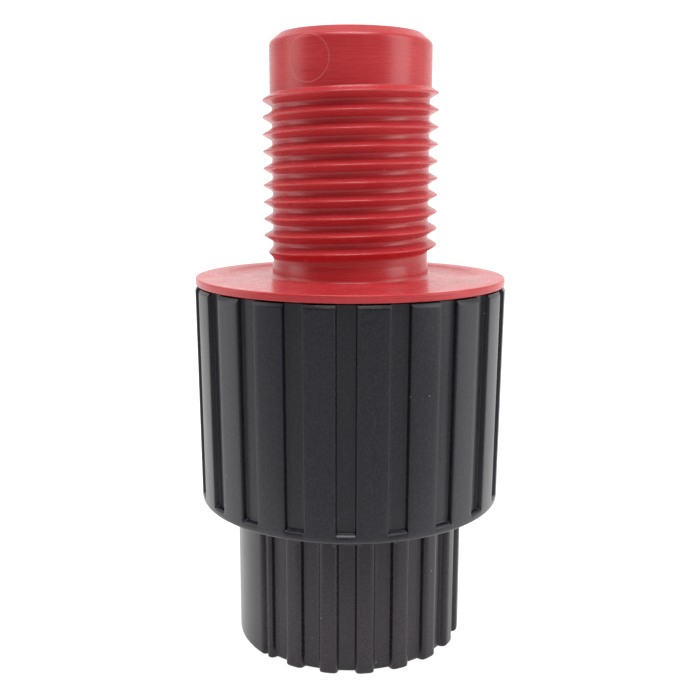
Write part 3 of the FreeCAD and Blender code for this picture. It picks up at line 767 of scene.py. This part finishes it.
def make_nipple():
    """The outline below, the climbing rows and the outline above, stacked as rows of one grid."""
    angle = np.arange(ANGLES) * (2 * math.pi / ANGLES)
    outline = soften(nipple_below + nipple_above)
    on_tube = np.abs(outline[:, 0] - TUBE_RADIUS) < SAME_PLACE
    at_foot = np.abs(outline[:, 1] - THREAD_LOW) < SAME_PLACE
    below = int(np.nonzero(on_tube & at_foot)[0][0]) + 1
    thread_radius, thread_height = thread_grid(angle)
    level_radius = np.broadcast_to(outline[:, :1], (len(outline), ANGLES))
    level_height = np.broadcast_to(outline[:, 1:], (len(outline), ANGLES))
    radius = np.concatenate([level_radius[:below], thread_radius, level_radius[below:]])
    height = np.concatenate([level_height[:below], thread_height, level_height[below:]])
    seam = np.arange(len(radius))
    wound = np.arange(len(thread_radius))
    one_turn_up = np.minimum(wound + len(TOOTH_ROWS), len(wound) - 1)
    seam[below:below + len(wound)] = below + one_turn_up
    faces = ring_faces(len(radius), ANGLES, seam)
    return skin_object("inlet_nipple_skin", [(turned_points(radius, height, angle), faces)])


nipple = make_nipple()
nipple.data.materials.append(red_plastic)
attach(nipple, "housing")
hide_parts("inlet_nipple")

# %% [markdown]
# ## Grip ribs
#
# Twenty shallow grooves leave twenty flat ribs. Across one groove the depth is a short table of
# distance from its middle against depth: a flat floor, a steep wall and a small rounded shoulder.
# The columns of the grid stand where that table has its points, so the edges are crisp without a
# dense mesh everywhere.

# %% Rib pattern
RIB_COUNT = 20
RIB_ANGLE = 2 * math.pi / RIB_COUNT
FRONT_GROOVE = math.radians(-91.2)
FLOOR_COLUMN = 0.4
SHOULDER_COLUMN = 0.8
LAND_COLUMN = 0.35

# Steps are millimetres past the groove's half width; depths are shares of the full depth.
WALL_STEPS = np.array([-0.16, -0.08, -0.03, 0.03, 0.07, 0.13, 0.22])
WALL_DEPTHS = np.array([1.0, 0.95, 0.80, 0.22, 0.09, 0.025, 0.0])
SOFT_STEPS = np.array([-0.18, -0.11, -0.05, 0.02, 0.10, 0.26, 0.55])
SOFT_DEPTHS = np.array([1.0, 0.95, 0.78, 0.40, 0.22, 0.075, 0.0])


def nearest_groove(angle):
    """Signed angle from the nearest groove's middle, and which groove that is."""
    place = (angle - FRONT_GROOVE) / RIB_ANGLE
    number = np.round(place)
    return (place - number) * RIB_ANGLE, number.astype(int) % RIB_COUNT


def groove_depth(away, half_width, depth, steps, depths):
    """Depth at a distance from a groove's middle, from the wall's table; millimetres."""
    return depth * np.interp(np.abs(away), half_width + steps, depths)


def rib_columns(radius, half_width, steps, extra=()):
    """Angles of the grid's columns: the wall's points each side of every groove, and a few more."""
    half_rib = RIB_ANGLE * radius / 2
    one_side = np.concatenate([[0.0, half_width * FLOOR_COLUMN], half_width + steps,
                               [half_width + SHOULDER_COLUMN, half_rib - LAND_COLUMN]])
    across = np.unique(np.concatenate([-one_side, one_side, [half_rib]])) / radius
    grooves = FRONT_GROOVE + RIB_ANGLE * np.arange(RIB_COUNT)
    angle = (grooves[:, None] + across).ravel()
    angle = np.concatenate([angle, np.asarray(extra, dtype=float)]) % (2 * math.pi)
    return np.unique(np.round(angle, 7))


print("grooves:", RIB_COUNT, "one every", round(math.degrees(RIB_ANGLE), 1), "degrees")

# %% [markdown]
# ## The collar
#
# The collar is one skin, outside and inside: journal, floor, ribbed wall with a slight draft,
# bevelled top edge, and the deep cup behind it. A shallow step under the flange's rim leaves a
# thin dark joint line.

# %% Collar outline
COLLAR_BOTTOM = 18.3
COLLAR_BOTTOM_RADIUS = 18.85
COLLAR_BEVEL_HEIGHT = 0.6
COLLAR_BEVEL_WIDTH = 0.24
SHADOW_GAP = 0.2
FLANGE_SEAT_RADIUS = 18.1
JOURNAL_BORE = 5.0
LEDGE_HEIGHTS = np.array([19.14, 19.17, 19.36, 19.39, 19.44, 19.47])
LEDGE_SHARES = np.array([0.0, 0.02, 0.36, 0.44, 0.96, 1.0])
WALL_HEIGHTS = (*LEDGE_HEIGHTS, 19.7, 21.0, 25.0, 30.0, 35.0, 40.0, 43.5)

collar_bevel_foot = flange_bottom - COLLAR_BEVEL_HEIGHT
wall_slope = (collar_top_radius - COLLAR_BOTTOM_RADIUS) / (collar_bevel_foot - COLLAR_BOTTOM)


def collar_wall(height):
    """Radius of the drafted outer wall at a height."""
    return COLLAR_BOTTOM_RADIUS + wall_slope * (height - COLLAR_BOTTOM)


collar_outline = [
    # the journal, with the grooves for the retaining ring and the seal
    (JOURNAL_BORE, 6.0, 0.2), (8.6, 6.0, 0.3), (8.6, 8.4, 0.05), (7.7, 8.4, 0.05),
    (7.7, 9.6, 0.05), (8.6, 9.6, 0.05), (8.6, 12.0, 0.05), (7.5, 12.0, 0.05),
    (7.5, 14.0, 0.05), (8.6, 14.0, 0.05),
    # the floor, the outer wall and its bevel
    (8.6, COLLAR_BOTTOM, 0.2), (COLLAR_BOTTOM_RADIUS, COLLAR_BOTTOM, 0.36),
    *((float(collar_wall(z)), float(z), 0.0) for z in WALL_HEIGHTS),
    (collar_top_radius, collar_bevel_foot, 0.3),
    (collar_top_radius - COLLAR_BEVEL_WIDTH, flange_bottom - SHADOW_GAP, 0.06),
    (FLANGE_SEAT_RADIUS, flange_bottom - SHADOW_GAP, 0.05),
    (FLANGE_SEAT_RADIUS, flange_bottom, 0.05),
    # the cup inside
    (16.3, flange_bottom, 0.2), (16.3, 27.5, 0.2),
    (7.0, 27.5, 0.1), (7.0, 22.0, 0.1), (JOURNAL_BORE, 22.0, 0.1),
]
print("collar corners:", len(collar_outline))

# %% [markdown]
# The grooves stop at a small ledge near the foot, whose outer edge is broken at about 45 degrees,
# so it catches the light from above. Depth is taken off only above the ledge, and never below the
# outline itself, as a cutter would leave it. The peg that stops the cap's turn is a second grid.

# %% Collar skin
COLLAR_COLUMN_RADIUS = 19.0
COLLAR_GROOVE_HALF = 1.12
COLLAR_GROOVE_DEPTH = 0.68
COLLAR_OUTSIDE_RADIUS = 17.0
COLLAR_FOOT_MARGIN = 0.3
KEY_SLOT_HALF = 0.8
KEY_SLOT_TOP = 16.5
KEY_SLOT_RADIUS = 6.0
KEY_EDGE_SHARES = (0.98, 1.02)
BORE_MARGIN = 0.3
PEG_PLACE = np.array([0.0, 12.0, 0.0])
PEG_RADIUS = 0.8
PEG_BOTTOM = 16.0
PEG_TOP = COLLAR_BOTTOM + 0.5
PEG_POLE_RADIUS = 0.02
PEG_STEPS = 32


def peg_grid():
    """A round pin: its small outline turned about the pin's own middle."""
    turn = np.linspace(0, 2 * math.pi, PEG_STEPS + 1)[:-1]
    outline = soften([(PEG_POLE_RADIUS, PEG_BOTTOM, 0), (PEG_RADIUS, PEG_BOTTOM, 0.15),
                      (PEG_RADIUS, PEG_TOP, 0), (PEG_POLE_RADIUS, PEG_TOP, 0)])
    points = turned_points(outline[:, :1] + 0 * turn, outline[:, 1:], turn) + PEG_PLACE
    return points, ring_faces(*points.shape[:2])


def make_collar():
    """Radius = the outline's, less the grooves outside, or the key slots' inside the journal."""
    slot_edge = math.asin(KEY_SLOT_HALF / JOURNAL_BORE)
    slot_columns = [middle + side * slot_edge * share
                    for middle in (0, math.pi) for side in (-1, 1) for share in KEY_EDGE_SHARES]
    angle = rib_columns(COLLAR_COLUMN_RADIUS, COLLAR_GROOVE_HALF, WALL_STEPS, slot_columns)
    outline = soften(collar_outline)
    radius, height = outline[:, :1], outline[:, 1:]
    away, _ = nearest_groove(angle)
    cut = groove_depth(away * COLLAR_COLUMN_RADIUS, COLLAR_GROOVE_HALF, COLLAR_GROOVE_DEPTH,
                       WALL_STEPS, WALL_DEPTHS)
    cut = cut * np.interp(height, LEDGE_HEIGHTS, LEDGE_SHARES)
    outside = (radius > COLLAR_OUTSIDE_RADIUS) & (height > COLLAR_BOTTOM + COLLAR_FOOT_MARGIN)
    ribbed = np.minimum(radius, collar_wall(height) - cut)
    beside_key = np.abs(np.sin(angle)) * JOURNAL_BORE < KEY_SLOT_HALF
    in_slot = beside_key & (radius < JOURNAL_BORE + BORE_MARGIN) & (height < KEY_SLOT_TOP)
    inside = np.where(in_slot, KEY_SLOT_RADIUS, radius + 0 * angle)
    wall = turned_points(np.where(outside, ribbed, inside), height, angle)
    return skin_object("collar_housing_skin", [(wall, ring_faces(*wall.shape[:2])), peg_grid()])


collar = make_collar()
collar.data.materials.append(collar_black)
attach(collar, "housing")
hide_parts("collar_housing")

# %% [markdown]
# ## The outlet cap
#
# The cap turns on the collar's journal. Under its top face a channel with one block in it limits
# the turn against the collar's peg. The outline goes up the outer wall, over the channel, down
# the bore and out along the recess for the nozzle.

# %% Cap outline
CAP_TOP = float(cap_high[2])
CHANNEL_FLOOR = 15.6
CHANNEL_INNER = 11.0
CHANNEL_OUTER = 13.0
CAP_WALL_HEIGHTS = (2.0, 6.0, 11.0, 16.0, 16.35, 16.45, 16.8)

cap_outline = [
    # the hub's mouth, the recess and the foot
    (2.5, 4.4, 0.05), (6.0, 4.4, 0.05), (6.0, 3.0, 0.1), (12.0, 3.0, 0.25), (12.0, 0.0, 0.25),
    # the outer wall
    (cap_radius, 0.0, 0.32), *((cap_radius, z, 0.0) for z in CAP_WALL_HEIGHTS),
    # the top face, with the channel
    (cap_radius, CAP_TOP, 0.25), (CHANNEL_OUTER, CAP_TOP, 0.1),
    (CHANNEL_OUTER, CHANNEL_FLOOR, 0.1), (CHANNEL_INNER, CHANNEL_FLOOR, 0.1),
    (CHANNEL_INNER, CAP_TOP, 0.1), (8.7, CAP_TOP, 0.15),
    # the bore, the room for the ring, and the hub
    (8.7, 9.7, 0.05), (9.9, 9.7, 0.05), (9.9, 5.7, 0.1), (3.4, 5.7, 0.1), (3.4, 9.0, 0.15),
    (2.5, 9.0, 0.15),
]
print("cap corners:", len(cap_outline))

# %% [markdown]
# The cap's ribs line up with the collar's when it is shut, and here they run out through the lower
# edge, which leaves a scalloped foot. On one side two grooves are left out for a plain pad, with a
# narrow groove beside it, where a finger finds the cap's position.

# %% Cap skin
CAP_GROOVE_HALF = 1.12
CAP_GROOVE_DEPTH = 0.84
CAP_GROOVE_TOP = 16.4
CAP_GROOVE_FADE = 0.06
CAP_OUTSIDE_RADIUS = 13.5
CAP_TOP_MARGIN = 0.2
PLAIN_GROOVES = (17, 16)
WITNESS_ANGLE = math.radians(-136.1)
WITNESS_HALF = 0.30
WITNESS_DEPTH = 0.6
WITNESS_REACH = 1.5
WITNESS_COLUMNS = np.array([-1, -0.6, -0.25, 0.25, 0.6, 1]) * (WITNESS_HALF + 0.1)
BLOCK_MIDDLE = math.radians(105.0)
BLOCK_HALF = math.radians(10.0)
BLOCK_EDGE_SHARES = (0.995, 1.005)
BLOCK_MARGIN = 0.1
BLOCK_FOOT = 15.0


def angle_between(angle, middle):
    """The smaller turn from one direction to the other, never negative."""
    return np.abs((angle - middle + math.pi) % (2 * math.pi) - math.pi)


def make_cap():
    """Radius = the outline's less the grooves; height = the top's where the block stands."""
    beside = WITNESS_ANGLE + WITNESS_COLUMNS / cap_radius
    block_edges = [BLOCK_MIDDLE + side * BLOCK_HALF * share
                   for side in (-1, 1) for share in BLOCK_EDGE_SHARES]
    extra = np.concatenate([beside, block_edges])
    angle = rib_columns(cap_radius, CAP_GROOVE_HALF, SOFT_STEPS, extra)
    outline = soften(cap_outline)
    radius, height = outline[:, :1], outline[:, 1:]
    away, number = nearest_groove(angle)
    cut = groove_depth(away * cap_radius, CAP_GROOVE_HALF, CAP_GROOVE_DEPTH,
                       SOFT_STEPS, SOFT_DEPTHS)
    cut = np.where(np.isin(number, PLAIN_GROOVES), 0, cut)
    witness_away = angle_between(angle, WITNESS_ANGLE) * cap_radius
    witness = WITNESS_DEPTH * np.clip(WITNESS_REACH - witness_away / WITNESS_HALF, 0, 1)
    groove_end = smooth_rise(height, CAP_GROOVE_TOP - CAP_GROOVE_FADE,
                             CAP_GROOVE_TOP + CAP_GROOVE_FADE)
    cut = np.maximum(cut, witness) * (1 - groove_end)
    outside = (radius > CAP_OUTSIDE_RADIUS) & (height < CAP_GROOVE_TOP + CAP_TOP_MARGIN)
    skin_radius = np.where(outside, radius - cut, radius + 0 * angle)
    in_channel = (radius > CHANNEL_INNER - BLOCK_MARGIN) & (radius < CHANNEL_OUTER + BLOCK_MARGIN)
    in_block = (angle_between(angle, BLOCK_MIDDLE) < BLOCK_HALF) & in_channel
    in_block = in_block & (height > BLOCK_FOOT)
    skin_height = np.where(in_block, CAP_TOP, height + 0 * angle)
    points = turned_points(skin_radius, skin_height, angle)
    return skin_object("outlet_cap_skin", [(points, ring_faces(*points.shape[:2]))])


cap = make_cap()
cap.data.materials.append(cap_black)
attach(cap, "cap")
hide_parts("outlet_cap")

# %% [markdown]
# ## Finishes of the small parts
#
# The pieces inside keep their CAD shapes. What they need is a believable finish each: milky
# acetal, drawn and turned steel, brass, and two rubbers.

# %% Small-part finishes
def make_plain(name, dark, light, roughness, grain_scale=1800, bump=0.02, stretch=(1, 1, 1),
               **values):
    """A finish with two close tones, a varied roughness and a fine bump from one noise."""
    finish, tree, shader = new_finish(name, **values)
    value = grain(tree, stretched_place(tree, stretch), grain_scale, 3, 0.6)
    tree.links.new(two_tones(tree, value, dark, light), shader.inputs["Base Color"])
    rough = spread(tree, value, roughness - 0.05, roughness + 0.07)
    tree.links.new(rough, shader.inputs["Roughness"])
    add_bumps(tree, shader, [(value, 0.25, bump)])
    return finish


acetal = make_plain("natural_acetal", (0.72, 0.70, 0.64), (0.80, 0.79, 0.74), 0.34,
                    Subsurface_Weight=0.15, Subsurface_Scale=0.5 * MM, IOR=1.48)
steel_wire = make_plain("stainless_wire", (0.50, 0.50, 0.49), (0.62, 0.62, 0.61), 0.26,
                        grain_scale=2600, Metallic=1.0)
steel_turned = make_plain("stainless_needle", (0.52, 0.52, 0.51), (0.64, 0.64, 0.62), 0.22,
                          stretch=(0.1, 0.1, 4), Metallic=1.0)
brass = make_plain("turned_brass", (0.66, 0.44, 0.16), (0.76, 0.54, 0.22), 0.24,
                   stretch=(0.1, 0.1, 4), Metallic=1.0)
nitrile = make_plain("nitrile_rubber", (0.012, 0.012, 0.013), (0.022, 0.021, 0.022), 0.60)
silicone = make_plain("silicone_rubber", (0.42, 0.13, 0.07), (0.50, 0.17, 0.10), 0.55)
gauze = make_plain("strainer_gauze", (0.30, 0.30, 0.29), (0.56, 0.56, 0.54), 0.35,
                   grain_scale=5200, bump=0.1, Metallic=1.0)
print("small-part finishes made")

# %% [markdown]
# The part's record names a material slot for every node, and a table turns slots into finishes.
# That way a node is found by what it is made of, not by its name.

# %% Finishes onto the CAD nodes
finish_of_slot = {
    "natural_acetal": acetal,
    "strainer_gauze": gauze,
    "nitrile_rubber": nitrile,
    "silicone_rubber": silicone,
    "stainless_wire": steel_wire,
    "stainless_needle": steel_turned,
    "turned_brass": brass,
    "red_nozzle": red_plastic,
}
for entry in frame["record"]["subparts"]:
    finish = finish_of_slot.get(entry["material_slot"])
    if finish is None:
        continue
    node = nodes[entry["node"]]
    node.data.materials.clear()
    node.data.materials.append(finish)
    print(entry["node"], "->", finish.name)

# %% [markdown]
# ## The check spring
#
# The coil under the poppet is bent from one steel wire. It gets shorter when the poppet opens,
# which a rigid node can't show, so the spring has a skin of its own, made here at one length. A
# circle carried along a helix is the whole recipe. A Screw modifier would make the same form, but
# the ends of the wire would stay open.

# %% Spring skin
SPRING_RADIUS = 3.0
SPRING_WIRE = 0.3
SPRING_TURNS = 3.5
SPRING_STEPS = 140
WIRE_STEPS = 14

spring_low, spring_high = box_mm("check_spring")


def make_spring():
    """Wire of radius w along a helix of radius R.

    x = (R + w cos v) cos u, y = (R + w cos v) sin u, z = climb(u) + w sin v. The climb is even,
    and w is 0 at both ends, which closes the wire with a flat cut.
    """
    share = np.linspace(0, 1, SPRING_STEPS)
    share = np.concatenate([share[:1], share, share[-1:]])[:, None]
    wire = np.full_like(share, SPRING_WIRE)
    wire[[0, -1]] = 0
    turn = 2 * math.pi * SPRING_TURNS * share
    around = np.arange(WIRE_STEPS) * (2 * math.pi / WIRE_STEPS)
    foot, head = spring_low[2] + SPRING_WIRE, spring_high[2] - SPRING_WIRE
    radius = SPRING_RADIUS + wire * np.cos(around)
    height = foot + (head - foot) * share + wire * np.sin(around)
    points = turned_points(radius, height, turn)
    return skin_object("check_spring_skin", [(points, tube_faces(*points.shape[:2]))])


spring = make_spring()
spring.data.materials.append(steel_wire)
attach(spring, "housing")
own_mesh(spring)
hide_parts("check_spring")

# %% [markdown]
# ## The backdrop's painted glow and shade
#
# A matt white with a painted glow: it gives back a little light of its own, so that the sheet stays
# clean white around the piece without lamps strong enough to bleach the red. In front of the piece
# and a little aside it is painted a grey shade and glows less.

# %% Backdrop painted glow and shade
CLOUD_GRAIN = 3.0
PALE_TONES = ((0.56, 0.56, 0.56), (0.60, 0.60, 0.60))
# The second pair of tones is a painted shade for the sheet in front of the piece.
PAINTED_SHADE_TONES = ((0.13, 0.13, 0.13), (0.15, 0.15, 0.15))


def make_backdrop_painted_glow_and_shade():
    """Painted glow, pale and glowing behind the piece; painted shade, grey and dimmer in front and
    aside.

    The share that is lit rises along Y, and falls where |x| + slope * y is large.
    """
    finish, tree, shader = new_finish("backdrop_painted_glow_and_shade", Roughness=0.9, Specular_IOR_Level=0.0)
    place = stretched_place(tree)
    cloud = grain(tree, place, CLOUD_GRAIN, 2)
    along = tree.nodes.new("ShaderNodeSeparateXYZ")
    tree.links.new(place, along.inputs["Vector"])
    lit = spread(tree, along.outputs["Y"], 0, 1, SHEET_FADE_FRONT * MM, SHEET_FADE_BACK * MM)
    aside = maths(tree, "ADD", maths(tree, "MULTIPLY", along.outputs["Y"], SHEET_SIDE_SLOPE),
                  maths(tree, "ABSOLUTE", along.outputs["X"], 0))
    sides = spread(tree, aside, 1, SHEET_SIDE_SHARE, SHEET_SIDE_START * MM, SHEET_SIDE_END * MM)
    lit = maths(tree, "MULTIPLY", lit, sides)
    # Painted shade: grey tones where the sheet is not lit, in front of the piece and a little
    # aside.
    pale = two_tones(tree, cloud, *PALE_TONES)
    grey = two_tones(tree, cloud, *PAINTED_SHADE_TONES)
    tree.links.new(mixed(tree, lit, grey, pale), shader.inputs["Base Color"])
    # Painted glow: the sheet emits light though it is no lamp, less of it where it is painted grey.
    shader.inputs["Emission Color"].default_value = (1, 1, 1, 1)
    glow = spread(tree, lit, SHEET_FRONT_GLOW, SHEET_GLOW, 0, 1)
    tree.links.new(glow, shader.inputs["Emission Strength"])
    return finish


backdrop.data.materials.append(make_backdrop_painted_glow_and_shade())
print("backdrop finish:", backdrop.data.materials[0].name)
